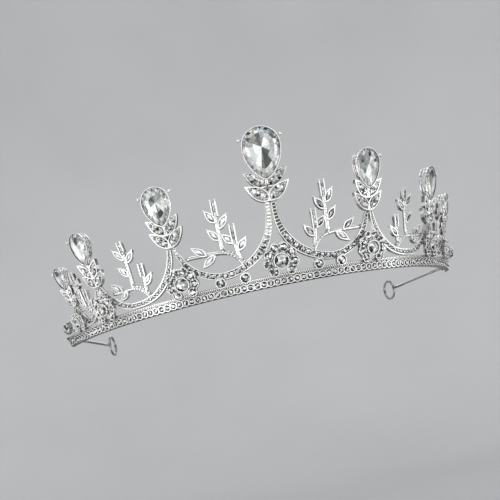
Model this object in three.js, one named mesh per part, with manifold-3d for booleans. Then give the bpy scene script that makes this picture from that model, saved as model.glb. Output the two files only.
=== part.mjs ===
import * as THREE from 'three';
import { mergeVertices } from 'three/addons/utils/BufferGeometryUtils.js';
import Module from 'manifold-3d';

const wasm = await Module();
wasm.setup();

// Bridal tiara, millimetres, +Z up. The front faces -Y and +X is the viewer's right.
// The origin is on the band's underside at its front centre.
// Flat castings are laid out on a wall pattern: s runs along the band, z is height and
// d is the distance in front of the wall. They are then bent round the head.

// Wall of the tiara
const BAND_RADIUS = 79;
const WALL_LEAN = 0.26;
const BAND_HALF_ARC = 101.5;

// Band and its row of crystals
const BAND_HEIGHT = 4;
const BAND_BACK = -1.4;
const BAND_FRONT = 0.2;
const BAND_GROOVE = 0.35;
const LEDGE_HEIGHT = 0.9;
const ROW_PITCH = 2.35;
const ROW_HALF_ARC = 100;
const ROW_LOW = 0.25;
const ROW_HIGH = 2.8;
const ROW_FRONT = 0.85;

// Distance from the origin back to the axis of the round wall
const AXIS_BACK = BAND_RADIUS + (BAND_BACK + BAND_FRONT) / 2;

// Castings
const RAIL_BACK = -1.35;
const RAIL_FRONT = 0;
const LEAF_BACK = -1.2;
const LEAF_FRONT = 0.3;
const TWIG_BACK = -1.1;
const TWIG_FRONT = 0;
const FIT_GAP = 0.3;

// Pear settings
const RIM_WALL = 0.55;
const BACK_TAPER = 0.8;
const TIP_POWER = 1.44;
const WIDEST_FROM_TOP = 0.37;
const PRONG_RADIUS = 0.38;
const PRONG_REACH = 1;
const PRONG_TURN = 0.44;
const BALL_RADIUS = 0.55;

// Peaks, from the centre outward
const PEAKS = [
  {
    name: 'centre', at: 0, width: 14, height: 18.7, top: 53.9, depth: 4.4, foot: 28.7,
    leafLow: [7.1, 34.8], leafHigh: [6.8, 39], highFoot: 33.5, leafWidth: 4.3,
    flowerAt: 0, flowerZ: 8.35, eye: 5.2, petal: 3.6, ring: 4.75,
  },
  {
    name: 'inner', at: 34.8, width: 10.9, height: 14.4, top: 42.3, depth: 3.8, foot: 20.7,
    leafLow: [5.7, 27.3], leafHigh: [5.4, 31.4], highFoot: 25, leafWidth: 3.7,
    flowerAt: 34, flowerZ: 7.9, eye: 4.9, petal: 3.4, ring: 4.5,
  },
  {
    name: 'middle', at: 67.6, width: 8.6, height: 12.5, top: 36.3, depth: 3.5, foot: 15.7,
    leafLow: [4.9, 21], leafHigh: [4.4, 25.2], highFoot: 18.8, leafWidth: 3.4,
    flowerAt: 67.2, flowerZ: 7.5, eye: 4.1, petal: 3, ring: 4,
  },
  {
    name: 'outer', at: 83.8, width: 6.8, height: 8.8, top: 27.9, depth: 3, foot: 12.6,
    leafLow: [3.8, 16.7], leafHigh: [3.5, 20.1], highFoot: 14.9, leafWidth: 2.8,
    flowerAt: 83.6, flowerZ: 6.5, eye: 3.2, petal: 2.3, ring: 3,
  },
];

// Rails between the peaks: distance along the band, height, width
const RAILS = {
  inner: [
    [1, 28.3, 1.6], [1.1, 24.5, 1.75], [1.7, 20.5, 2.2], [3, 17, 2.6], [5.2, 13.6, 2.9],
    [8.6, 10.6, 2.8], [13.2, 8.3, 2.6], [18.5, 7.25, 2.5], [23.5, 7.9, 2.5], [28, 10.2, 2.4],
    [30.9, 12.9, 2.2], [32.7, 16.4, 1.9], [33.9, 20.3, 1.4],
  ],
  middle: [
    [35.7, 20.3, 1.4], [36.4, 17.2, 1.8], [37.9, 13.6, 2.1], [40.6, 10, 2.3],
    [44.5, 7.1, 2.2], [49, 5.7, 2.1], [53.5, 5.4, 2.1], [57.6, 6, 2.2], [61.2, 7.9, 2.2],
    [63.8, 10.4, 2.1], [65.6, 13, 1.8], [66.75, 15.3, 1.4],
  ],
  outer: [
    [68.45, 15.3, 1.4], [69.7, 12.7, 1.8], [71.6, 10, 2], [74.2, 7.3, 2], [77.2, 5.6, 2],
    [79.9, 6.3, 2], [81.8, 8.8, 1.8], [83.0, 12.2, 1.3],
  ],
  end: [[84.6, 12.2, 1.3], [85.8, 9.4, 1.8], [87.7, 7.2, 2], [90, 5.8, 2], [91.9, 5.4, 1.8]],
};

// Twig sprays, one in each gap. Leaves and baguettes run from base to tip.
const TWIG_WIDTH = 1.2;
const BAGUETTE_WIDTH = 1.8;
const SPRAYS = {
  inner: {
    branch: [[12.55, 10.8], [13.6, 12.3], [16, 14.2], [19, 15], [23.5, 15.4], [30.9, 15.7]],
    stems: [[[18.2, 14.6], [18, 29.4]], [[13, 11.4], [13.7, 18]]],
    baguettes: [[17.9, 27.2, 17.7, 32.7], [13.8, 16.8, 13.6, 23.5]],
    leaves: [
      [18.3, 25, 21.2, 30.1], [17.8, 22.8, 14.4, 27.6], [18.3, 19, 21.7, 23.7],
      [14, 17.1, 17.6, 21.2], [13.1, 14.3, 9.8, 18.7], [23.6, 15, 28.4, 19],
      [20.9, 14.9, 25.9, 11.35],
    ],
    leafWidth: 2.6,
  },
  middle: {
    branch: [[47.75, 8.2], [48.8, 9.4], [51, 11], [54.5, 11.4], [58, 11.4], [61.9, 11.6]],
    stems: [[[52.8, 11], [51.9, 25.4]], [[48.2, 8.6], [47.2, 15.4]]],
    baguettes: [[51.9, 24.2, 52.2, 27.6], [47.3, 14.2, 47.1, 18.3]],
    leaves: [
      [52.2, 21.3, 55.8, 25.8], [51.8, 20, 48.2, 24], [52.4, 15.5, 56, 19.6],
      [47.8, 10.9, 43.9, 14.8], [57, 11, 61.5, 15], [55.2, 11, 59.2, 8.35],
    ],
    leafWidth: 2.3,
  },
  outer: {
    branch: [[75.75, 8.25], [76.4, 9.4], [77.9, 10.4], [80.9, 10.6]],
    stems: [[[77.7, 10], [77.9, 21]], [[75.9, 8.5], [74.7, 13]]],
    baguettes: [[77.9, 20.4, 77.9, 23.8], [74.7, 12.4, 74.4, 16.4]],
    leaves: [
      [77.8, 15.6, 79.7, 19.2], [77.7, 17.6, 75.7, 21.4], [77.8, 11.4, 79.8, 14.6],
      [75.4, 9.8, 72.6, 12.8],
    ],
    leafWidth: 1.9,
  },
};

// Round stone cups under the inner rails and at the ends of the band
const BRIDGE_CUPS = [12.8, 21.2];
const BRIDGE_Z = 5.05;
const BRIDGE_RADIUS = 1.95;
const END_CUP = { at: 94.9, z: 6.6, radius: 2.3 };

// Pin loops behind the ends
const WIRE_RADIUS = 0.5;
const LOOP_PAD_AT = 96;
const LOOP_HEIGHT = 1.5;
const LOOP_CENTRE = [59.3, 90.5];
const LOOP_RADIUS = 3.7;

const METAL = { color: 0xd4d7dc, metalness: 1, roughness: 0.22 };
const CRYSTAL = { color: 0xf2f6fa, metalness: 0, roughness: 0.05 };

const group = new THREE.Group();

function addMesh(name, geometry, look) {
  const mesh = new THREE.Mesh(geometry, new THREE.MeshStandardMaterial(look));
  mesh.name = name;
  group.add(mesh);
}

// Point on the wall from pattern coordinates
function wallPoint(s, z, d) {
  const angle = s / BAND_RADIUS;
  const radius = BAND_RADIUS + WALL_LEAN * z + d;
  return new THREE.Vector3(
    radius * Math.sin(angle), AXIS_BACK - radius * Math.cos(angle), z,
  );
}

function bend(geometry) {
  const points = geometry.getAttribute('position');
  for (let i = 0; i < points.count; i += 1) {
    const p = wallPoint(points.getX(i), points.getY(i), points.getZ(i));
    points.setXYZ(i, p.x, p.y, p.z);
  }
  return geometry;
}

// Frame standing on the wall: x along the band, y up the slope, z outward
function wallFrame(s, z, d) {
  const angle = s / BAND_RADIUS;
  const along = new THREE.Vector3(Math.cos(angle), Math.sin(angle), 0);
  const up = new THREE.Vector3(
    WALL_LEAN * Math.sin(angle), -WALL_LEAN * Math.cos(angle), 1,
  ).normalize();
  const out = new THREE.Vector3().crossVectors(along, up);
  return new THREE.Matrix4().makeBasis(along, up, out).setPosition(wallPoint(s, z, d));
}

function toSolid(geometry) {
  const plain = new THREE.BufferGeometry();
  plain.setAttribute('position', geometry.getAttribute('position'));
  plain.setIndex(geometry.getIndex());
  const merged = mergeVertices(plain, 1e-4);
  return new wasm.Manifold(new wasm.Mesh({
    numProp: 3,
    vertProperties: new Float32Array(merged.getAttribute('position').array),
    triVerts: new Uint32Array(merged.getIndex().array),
  }));
}

function toGeometry(solid) {
  const mesh = solid.getMesh();
  const geometry = new THREE.BufferGeometry();
  geometry.setAttribute('position', new THREE.BufferAttribute(mesh.vertProperties, 3));
  geometry.setIndex(new THREE.BufferAttribute(mesh.triVerts, 1));
  return geometry;
}

function join(geometries) {
  return toGeometry(geometries.map(toSolid).reduce((whole, part) => whole.add(part)));
}

// Closed skin over a row of equal loops. The loops turn anticlockwise seen from ahead.
function skin(loops, closed = false) {
  const size = loops[0].length;
  const index = [];
  const spans = closed ? loops.length : loops.length - 1;
  for (let i = 0; i < spans; i += 1) {
    const a = i * size;
    const b = ((i + 1) % loops.length) * size;
    for (let j = 0; j < size; j += 1) {
      const k = (j + 1) % size;
      index.push(a + j, a + k, b + k, a + j, b + k, b + j);
    }
  }
  if (!closed) {
    const last = (loops.length - 1) * size;
    for (let j = 1; j < size - 1; j += 1) {
      index.push(0, j + 1, j, last, last + j, last + j + 1);
    }
  }
  const geometry = new THREE.BufferGeometry();
  const points = loops.flat().flatMap((p) => [p.x, p.y, p.z]);
  geometry.setAttribute('position', new THREE.Float32BufferAttribute(points, 3));
  geometry.setIndex(index);
  return geometry;
}

// Bar of rectangular section following a path on the pattern
function patternBar(path, widthAt, back, front, steps) {
  const curve = new THREE.CatmullRomCurve3(
    path.map(([s, z]) => new THREE.Vector3(s, z, 0)), false, 'centripetal',
  );
  const loops = [];
  for (let i = 0; i <= steps; i += 1) {
    const p = curve.getPoint(i / steps);
    const run = curve.getTangent(i / steps);
    const half = widthAt(i / steps) / 2;
    const side = new THREE.Vector3(-run.y, run.x, 0).multiplyScalar(half);
    const left = p.clone().add(side);
    const right = p.clone().sub(side);
    loops.push([
      new THREE.Vector3(left.x, left.y, back), new THREE.Vector3(left.x, left.y, front),
      new THREE.Vector3(right.x, right.y, front), new THREE.Vector3(right.x, right.y, back),
    ]);
  }
  return skin(loops);
}

// Pointed leaf outline from base to tip
function leafShape(s0, z0, s1, z1, width) {
  const length = Math.hypot(s1 - s0, z1 - z0);
  const along = [(s1 - s0) / length, (z1 - z0) / length];
  const point = (u, v) => new THREE.Vector2(
    s0 + along[0] * u * length - along[1] * v * width,
    z0 + along[1] * u * length + along[0] * v * width,
  );
  const sides = [[0.18, 0.3], [0.45, 0.5], [0.75, 0.33]];
  return new THREE.Shape([
    point(0, 0),
    ...sides.map(([u, v]) => point(u, -v)),
    point(1, 0),
    ...sides.reverse().map(([u, v]) => point(u, v)),
  ]);
}

function plate(shape, back, front) {
  const geometry = new THREE.ExtrudeGeometry(shape, {
    depth: front - back, bevelEnabled: false, curveSegments: 8,
  });
  return geometry.translate(0, 0, back);
}

// Pear outline, point down, centred on its widest line
function pearLoop(width, height, w, sides) {
  const above = height * WIDEST_FROM_TOP;
  const below = height - above;
  return Array.from({ length: sides }, (_, i) => {
    const turn = (2 * Math.PI * (i + 0.5)) / sides;
    const [x, y] = [Math.cos(turn), Math.sin(turn)];
    const reach = Math.abs(x) ** (y < 0 ? TIP_POWER : 1);
    return new THREE.Vector3(
      (Math.sign(x) * reach * width) / 2, y * (y < 0 ? below : above), w,
    );
  });
}

function pearFrame(side, peak) {
  const slope = Math.hypot(1, WALL_LEAN);
  return wallFrame(side * peak.at, peak.top - (peak.height * WIDEST_FROM_TOP) / slope, 0);
}

function ringLoop(radius, w, sides) {
  return Array.from({ length: sides }, (_, i) => {
    const turn = (2 * Math.PI * i) / sides;
    return new THREE.Vector3(radius * Math.cos(turn), radius * Math.sin(turn), w);
  });
}

// Open-backed cup with two ball-tipped prongs at the shoulders
function pearSetting(side, peak) {
  const back = -0.6 * peak.depth;
  const front = 0.4 * peak.depth;
  const loop = (inset, taper, w) => pearLoop(
    peak.width * taper - 2 * inset, peak.height * taper - 2 * inset, w, 20,
  );
  const rim = skin([
    loop(0, BACK_TAPER, back), loop(0, 1, front),
    loop(RIM_WALL, 1, front), loop(RIM_WALL, BACK_TAPER, back),
  ], true);
  const parts = [rim];
  for (const way of [-1, 1]) {
    const shoulder = new THREE.Vector3(
      way * ((peak.width / 2) * Math.cos(PRONG_TURN) - RIM_WALL),
      peak.height * WIDEST_FROM_TOP * Math.sin(PRONG_TURN), front - 0.7,
    );
    const arm = new THREE.CylinderGeometry(PRONG_RADIUS, PRONG_RADIUS, PRONG_REACH + 0.6, 6);
    arm.rotateZ(Math.PI / 2).translate(
      shoulder.x + (way * (PRONG_REACH + 0.6)) / 2, shoulder.y, shoulder.z,
    );
    const ball = new THREE.IcosahedronGeometry(BALL_RADIUS, 0);
    ball.translate(shoulder.x + way * (PRONG_REACH + 0.5), shoulder.y, shoulder.z);
    parts.push(arm, ball);
  }
  return join(parts).applyMatrix4(pearFrame(side, peak));
}

// Faceted pear with a table, a girdle and a keeled back
function pearCrystal(side, peak) {
  const inset = 2 * (RIM_WALL + FIT_GAP);
  const width = peak.width - inset;
  const height = peak.height - inset;
  const front = 0.4 * peak.depth;
  const taper = (scale, w) => pearLoop(width * scale, height * scale, w, 16);
  return skin([
    taper(0.25, front - 0.55 * peak.depth), taper(0.9, front - 0.25),
    taper(0.92, front + 0.1), taper(0.55, front + 0.16 * peak.depth),
  ]).applyMatrix4(pearFrame(side, peak));
}

// Four joined leaves that carry the pear setting
function leafCluster(side, peak) {
  const leaves = [];
  for (const way of [-1, 1]) {
    for (const [[reach, tipZ], footZ] of [
      [peak.leafLow, peak.foot], [peak.leafHigh, peak.highFoot],
    ]) {
      const shape = leafShape(
        side * peak.at - way * 0.35, footZ, side * peak.at + way * reach, tipZ, peak.leafWidth,
      );
      leaves.push(plate(shape, LEAF_BACK, LEAF_FRONT));
    }
  }
  const cut = skin([
    pearLoop(peak.width + 2 * FIT_GAP, peak.height + 2 * FIT_GAP, -peak.depth, 24),
    pearLoop(peak.width + 2 * FIT_GAP, peak.height + 2 * FIT_GAP, peak.depth, 24),
  ]).applyMatrix4(pearFrame(side, peak));
  return toGeometry(toSolid(bend(join(leaves))).subtract(toSolid(cut)));
}

// Eight petal cups round an eye cup, the gap in the ring pointing down
function flowerSetting(side, peak) {
  const eye = peak.eye / 2 + FIT_GAP;
  const parts = [skin([
    ringLoop(peak.ring, 0, 16), ringLoop(peak.ring, 0.5, 16), ringLoop(eye + 0.3, 0.6, 16),
    ringLoop(eye + 0.3, 1.6, 16), ringLoop(eye, 1.6, 16), ringLoop(eye, 0, 16),
  ], true)];
  for (let i = 0; i < 8; i += 1) {
    const turn = (-90 + 40 * (i + 1)) * (Math.PI / 180);
    const petal = skin([
      ringLoop(peak.petal / 2, 0, 6), ringLoop(peak.petal / 2, 1.1, 6),
      ringLoop(peak.petal / 3.4, 1.5, 6),
    ]);
    petal.translate(peak.ring * Math.cos(turn), peak.ring * Math.sin(turn), 0);
    parts.push(petal);
  }
  return join(parts).applyMatrix4(flowerFrame(side, peak));
}

function flowerFrame(side, peak) {
  return wallFrame(side * peak.flowerAt, peak.flowerZ, BAND_FRONT + FIT_GAP);
}

function flowerCrystal(side, peak) {
  const radius = peak.eye / 2;
  return skin([
    ringLoop(radius * 0.3, 0.3, 12), ringLoop(radius, 1.6, 12),
    ringLoop(radius, 1.8, 12), ringLoop(radius * 0.55, 2.4, 12),
  ]).applyMatrix4(flowerFrame(side, peak));
}

function spray(side, plan) {
  const at = ([s, z]) => [side * s, z];
  const even = () => TWIG_WIDTH;
  const parts = [
    patternBar(plan.branch.map(at), even, TWIG_BACK, TWIG_FRONT, 12),
    ...plan.stems.map((stem) => patternBar(stem.map(at), even, TWIG_BACK, TWIG_FRONT, 3)),
    ...plan.baguettes.map(([s0, z0, s1, z1]) => patternBar(
      [at([s0, z0]), at([s1, z1])], () => BAGUETTE_WIDTH, TWIG_BACK, TWIG_FRONT + 0.5, 1,
    )),
    ...plan.leaves.map(([s0, z0, s1, z1]) => plate(
      leafShape(side * s0, z0, side * s1, z1, plan.leafWidth), TWIG_BACK, TWIG_FRONT + 0.2,
    )),
  ];
  return bend(join(parts));
}

function rail(side, points) {
  const widths = points.map(([, , width]) => width);
  const widthAt = (t) => {
    const place = t * (widths.length - 1);
    const low = Math.min(Math.floor(place), widths.length - 2);
    return widths[low] + (widths[low + 1] - widths[low]) * (place - low);
  };
  const path = points.map(([s, z]) => [side * s, z]);
  const steps = (points.length - 1) * 2;
  return bend(patternBar(path, widthAt, RAIL_BACK, RAIL_FRONT, steps));
}

// Cup with a crystal dome, broad necks above and below it, and a peg between the band
// and the rail
function bridgeCup(s) {
  const cup = skin([
    ringLoop(BRIDGE_RADIUS, 0, 14), ringLoop(BRIDGE_RADIUS, 1.1, 14),
    ringLoop(BRIDGE_RADIUS * 0.55, 1.6, 14),
  ]);
  const peg = new THREE.BoxGeometry(1.4, 1, 1.6).translate(0, 0, -0.6);
  const necks = new THREE.BoxGeometry(2.4, 3.8, 0.8).translate(0, 0.1, 0.4);
  return join([cup, peg, necks]).applyMatrix4(wallFrame(s, BRIDGE_Z, BAND_FRONT + FIT_GAP));
}

function endCup(side) {
  const cup = skin([
    ringLoop(END_CUP.radius, -0.8, 16), ringLoop(END_CUP.radius, 1.2, 16),
    ringLoop(END_CUP.radius * 0.55, 1.9, 16),
  ]);
  return cup.applyMatrix4(wallFrame(side * END_CUP.at, END_CUP.z, -0.2));
}

// Straight wire with a closed ring, on a small pad against the inside of the band
function pinLoop(side) {
  const start = wallPoint(side * LOOP_PAD_AT, LOOP_HEIGHT, BAND_BACK - 1.1);
  const centre = new THREE.Vector3(side * LOOP_CENTRE[0], LOOP_CENTRE[1], LOOP_HEIGHT);
  const run = centre.clone().sub(start).normalize();
  const end = centre.clone().addScaledVector(run, -LOOP_RADIUS);
  const dot = new THREE.Shape(
    ringLoop(WIRE_RADIUS, 0, 8).map((p) => new THREE.Vector2(p.x, p.y)),
  );
  const wire = new THREE.ExtrudeGeometry(dot, {
    extrudePath: new THREE.LineCurve3(start, end), steps: 1, bevelEnabled: false,
  });
  const ring = new THREE.TorusGeometry(LOOP_RADIUS, WIRE_RADIUS, 6, 20);
  ring.applyMatrix4(new THREE.Matrix4().makeBasis(
    run, new THREE.Vector3(0, 0, 1),
    new THREE.Vector3().crossVectors(run, new THREE.Vector3(0, 0, 1)),
  ).setPosition(centre));
  const pad = new THREE.BoxGeometry(4, 2.4, 0.7)
    .applyMatrix4(wallFrame(side * LOOP_PAD_AT, LOOP_HEIGHT, BAND_BACK - 0.75));
  return join([wire, ring, pad]);
}

// Band: flat back, a plain ledge on top and a groove for the crystals
function baseBand() {
  const steps = 72;
  const floor = BAND_FRONT - BAND_GROOVE;
  const profile = [
    [0, BAND_BACK], [0, BAND_FRONT - 0.1], [0.2, floor - FIT_GAP],
    [BAND_HEIGHT - LEDGE_HEIGHT, floor - FIT_GAP],
    [BAND_HEIGHT - LEDGE_HEIGHT, BAND_FRONT], [BAND_HEIGHT, BAND_FRONT],
    [BAND_HEIGHT, BAND_BACK],
  ];
  const loops = [];
  for (let i = 0; i <= steps; i += 1) {
    const s = BAND_HALF_ARC * (1 - (2 * i) / steps);
    loops.push(profile.map(([z, d]) => new THREE.Vector3(s, z, d)));
  }
  return bend(skin(loops));
}

// Crystals of the band, joined side by side into one strip
function bandStoneRow() {
  const count = Math.round((2 * ROW_HALF_ARC) / ROW_PITCH);
  const back = BAND_FRONT - BAND_GROOVE;
  const loops = [];
  for (let i = 0; i <= 2 * count; i += 1) {
    const s = ROW_HALF_ARC * (1 - i / count);
    const full = i % 2;
    const low = full ? ROW_LOW : ROW_LOW + 0.35;
    const high = full ? ROW_HIGH : ROW_HIGH - 0.35;
    const front = full ? ROW_FRONT : ROW_FRONT - 0.5;
    loops.push([
      new THREE.Vector3(s, low, back), new THREE.Vector3(s, (low + high) / 2, front),
      new THREE.Vector3(s, high, back),
    ]);
  }
  return bend(skin(loops));
}

addMesh('base_band', baseBand(), METAL);
addMesh('band_stone_row', bandStoneRow(), CRYSTAL);

for (const peak of PEAKS) {
  const sides = peak.at === 0 ? [['', 1]] : [['_left', -1], ['_right', 1]];
  for (const [suffix, side] of sides) {
    const name = `${peak.name}${suffix}`;
    addMesh(`pear_setting_${name}`, pearSetting(side, peak), METAL);
    addMesh(`pear_crystal_${name}`, pearCrystal(side, peak), CRYSTAL);
    addMesh(`leaf_cluster_${name}`, leafCluster(side, peak), METAL);
    addMesh(`flower_setting_${name}`, flowerSetting(side, peak), METAL);
    addMesh(`flower_crystal_${name}`, flowerCrystal(side, peak), CRYSTAL);
  }
}

for (const [suffix, side] of [['left', -1], ['right', 1]]) {
  for (const [name, points] of Object.entries(RAILS)) {
    addMesh(`rail_${name}_${suffix}`, rail(side, points), METAL);
  }
  for (const [name, plan] of Object.entries(SPRAYS)) {
    addMesh(`spray_${name}_${suffix}`, spray(side, plan), METAL);
  }
  BRIDGE_CUPS.forEach((at, i) => {
    addMesh(`bridge_cup_${suffix}_${i + 1}`, bridgeCup(side * at), METAL);
  });
  addMesh(`end_cup_${suffix}`, endCup(side), METAL);
  addMesh(`pin_loop_${suffix}`, pinLoop(side), METAL);
}

export default group;
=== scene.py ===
"""Bridal tiara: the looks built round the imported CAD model."""

import math
import random

import bmesh
import bpy
from mathutils import Matrix, Vector


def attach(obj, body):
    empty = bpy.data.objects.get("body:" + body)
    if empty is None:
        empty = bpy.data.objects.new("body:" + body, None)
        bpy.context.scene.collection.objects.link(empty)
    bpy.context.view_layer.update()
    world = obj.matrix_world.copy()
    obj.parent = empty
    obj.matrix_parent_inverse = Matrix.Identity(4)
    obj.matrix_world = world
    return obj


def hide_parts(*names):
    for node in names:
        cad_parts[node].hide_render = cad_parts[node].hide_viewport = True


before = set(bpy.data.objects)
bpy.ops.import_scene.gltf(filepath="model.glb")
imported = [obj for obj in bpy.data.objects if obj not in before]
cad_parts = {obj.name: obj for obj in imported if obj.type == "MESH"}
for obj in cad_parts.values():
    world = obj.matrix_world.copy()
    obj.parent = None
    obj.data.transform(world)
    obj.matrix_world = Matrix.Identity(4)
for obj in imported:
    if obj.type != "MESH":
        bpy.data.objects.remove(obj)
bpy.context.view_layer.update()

MM = 0.001
SLOT_METAL = "plated_alloy"
SLOT_WIRE = "wire"
SLOT_CRYSTAL = "crystal"

# Design dimensions in millimetres, as in the CAD model. The tiara stands on a leaning
# round wall: s runs along the band, z is height and d is the distance in front of it.
BAND_RADIUS = 79
WALL_LEAN = 0.26
AXIS_BACK = 78.4
BAND_HALF_ARC = 101.5
BAND_HEIGHT = 4
BAND_BACK = -1.4
BAND_FRONT = 0.2
LEDGE_HEIGHT = 0.9
FIT_GAP = 0.3

# Row of crystals along the band
ROW_PITCH = 2.35
ROW_HALF_ARC = 99.9
ROW_Z = 1.5
ROW_STONE = 0.92

# Rails: the two narrow legs under the centre peak are barred above LEG_FOOT
RAIL_BACK = -1.35
RAIL_FLOOR = -0.3
RAIL_LIP = 0.36
LEG_LIP = 0.29
LEG_FOOT = 17.5
BAR_PITCH = 1.15
BAR_HALF = dict(close=0.44, ladder=0.22)

# Leaves, and how far the two pairs of a cluster lean outward for each millimetre up
LEAF_BACK = -1.2
LEAF_FRONT = 0.3
LOW_LEAN = 0.02
HIGH_LEAN = 0.14

# Pears
WIDEST_FROM_TOP = 0.37
TIP_POWER = 1.44
RIM_WALL = 0.42
BACK_TAPER = 0.8
PRONG_TURN = 0.44
PRONG_REACH = 1.1
BALL_RADIUS = 0.6
PEAR_MAINS = 8
PEAR_SIDES = 48

# Peaks, from the centre outward
PEAKS = [
    dict(name="centre", at=0, width=14, height=18.7, top=53.9, depth=4.4, foot=28.7,
         low=(7.1, 34.8), high=(6.8, 39), high_foot=33.5, leaf=4.3,
         flower=(0, 8.35), eye=5.2, petal=3.6, ring=4.75),
    dict(name="inner", at=34.8, width=10.9, height=14.4, top=42.3, depth=3.8, foot=20.7,
         low=(5.7, 27.3), high=(5.4, 31.4), high_foot=25, leaf=3.7,
         flower=(34, 7.9), eye=4.9, petal=3.4, ring=4.5),
    dict(name="middle", at=67.6, width=8.6, height=12.5, top=36.3, depth=3.5, foot=15.7,
         low=(4.9, 21), high=(4.4, 25.2), high_foot=18.8, leaf=3.4,
         flower=(67.2, 7.5), eye=4.1, petal=3, ring=4),
    dict(name="outer", at=83.8, width=6.8, height=8.8, top=27.9, depth=3, foot=12.6,
         low=(3.8, 16.7), high=(3.5, 20.1), high_foot=14.9, leaf=2.8,
         flower=(83.6, 6.5), eye=3.2, petal=2.3, ring=3),
]

# Rails between the peaks: distance along the band, height, width
RAILS = dict(
    inner=[(1, 28.3, 1.6), (1.1, 24.5, 1.75), (1.7, 20.5, 2.2), (3, 17, 2.6),
           (5.2, 13.6, 2.9), (8.6, 10.6, 2.8), (13.2, 8.3, 2.6), (18.5, 7.25, 2.5),
           (23.5, 7.9, 2.5), (28, 10.2, 2.4), (30.9, 12.9, 2.2), (32.7, 16.4, 1.9),
           (33.9, 20.3, 1.4)],
    middle=[(35.7, 20.3, 1.4), (36.4, 17.2, 1.8), (37.9, 13.6, 2.1), (40.6, 10, 2.3),
            (44.5, 7.1, 2.2), (49, 5.7, 2.1), (53.5, 5.4, 2.1), (57.6, 6, 2.2),
            (61.2, 7.9, 2.2), (63.8, 10.4, 2.1), (65.6, 13, 1.8), (66.75, 15.3, 1.4)],
    outer=[(68.45, 15.3, 1.4), (69.7, 12.7, 1.8), (71.6, 10, 2), (74.2, 7.3, 2),
           (77.2, 5.6, 2), (79.9, 6.3, 2), (81.8, 8.8, 1.8), (83.0, 12.2, 1.3)],
    end=[(84.6, 12.2, 1.3), (85.8, 9.4, 1.8), (87.7, 7.2, 2), (90, 5.8, 2),
         (91.9, 5.4, 1.8)],
)

# Twig sprays, one in each gap. Leaves and baguettes run from base to tip.
TWIG_BACK = -1.1
TWIG_WIDTH = 1.35
BAGUETTE_WIDTH = 1.9
SPRAYS = dict(
    inner=dict(
        branch=[(12.55, 10.8), (13.6, 12.3), (16, 14.2), (19, 15), (23.5, 15.4),
                (30.9, 15.7)],
        stems=[((18.2, 14.6), (18, 29.4)), ((13, 11.4), (13.7, 18))],
        baguettes=[(17.9, 27.2, 17.7, 32.7), (13.8, 16.8, 13.6, 23.5)],
        leaves=[(18.3, 25, 21.2, 30.1), (17.8, 22.8, 14.4, 27.6), (18.3, 19, 21.7, 23.7),
                (14, 17.1, 17.6, 21.2), (13.1, 14.3, 9.8, 18.7), (23.6, 15, 28.4, 19),
                (20.9, 14.9, 25.9, 11.35)],
        leaf=2.6),
    middle=dict(
        branch=[(47.75, 8.2), (48.8, 9.4), (51, 11), (54.5, 11.4), (58, 11.4),
                (61.9, 11.6)],
        stems=[((52.8, 11), (51.9, 25.4)), ((48.2, 8.6), (47.2, 15.4))],
        baguettes=[(51.9, 24.2, 52.2, 27.6), (47.3, 14.2, 47.1, 18.3)],
        leaves=[(52.2, 21.3, 55.8, 25.8), (51.8, 20, 48.2, 24), (52.4, 15.5, 56, 19.6),
                (47.8, 10.9, 43.9, 14.8), (57, 11, 61.5, 15), (55.2, 11, 59.2, 8.35)],
        leaf=2.3),
    outer=dict(
        branch=[(75.75, 8.25), (76.4, 9.4), (77.9, 10.4), (80.9, 10.6)],
        stems=[((77.7, 10), (77.9, 21)), ((75.9, 8.5), (74.7, 13))],
        baguettes=[(77.9, 20.4, 77.9, 23.8), (74.7, 12.4, 74.4, 16.4)],
        leaves=[(77.8, 15.6, 79.7, 19.2), (77.7, 17.6, 75.7, 21.4),
                (77.8, 11.4, 79.8, 14.6), (75.4, 9.8, 72.6, 12.8)],
        leaf=1.9),
)

# Painted light on the twig leaves' crystals: bright on the left, darker as painted shade on the
# right
LEAF_LIGHT_BY_SIDE = {-1: (1.0, 1.0, 0.9, 0.7), 1: (0.9, 0.6, 0.45, 0.3)}

# Round cups under the inner rails and at the ends of the band
BRIDGE_CUPS = (12.8, 21.2)
BRIDGE_Z = 5.05
BRIDGE_RADIUS = 1.95
END_AT = 94.9
END_Z = 6.6
END_RADIUS = 2.3

# Pin loops behind the ends
WIRE_RADIUS = 0.5
LOOP_PAD_AT = 96
LOOP_HEIGHT = 1.5
LOOP_CENTRE = (59.3, 90.5)
LOOP_RADIUS = 3.7

# Camera, in degrees and millimetres
CAMERA_TARGET = (-4.57, 30, 19.51)
CAMERA_AZIMUTH = -8.76
CAMERA_ELEVATION = -9.42
CAMERA_ROLL = 12.43
CAMERA_DISTANCE = 473
CAMERA_LENS = 91.6
FLOOR_Z = -112

# Studio lights: the direction that each comes from, and its strength
LIGHTS = dict(
    key=((-0.6, -0.8, 0.3), 2.0),
    fill=((0.8, -0.6, 0.2), 0.9),
    top=((0.1, 0.15, 1.1), 0.6),
    back=((0.35, 0.85, 0.35), 1.4),
)
LIGHT_SPREAD = 55
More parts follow.
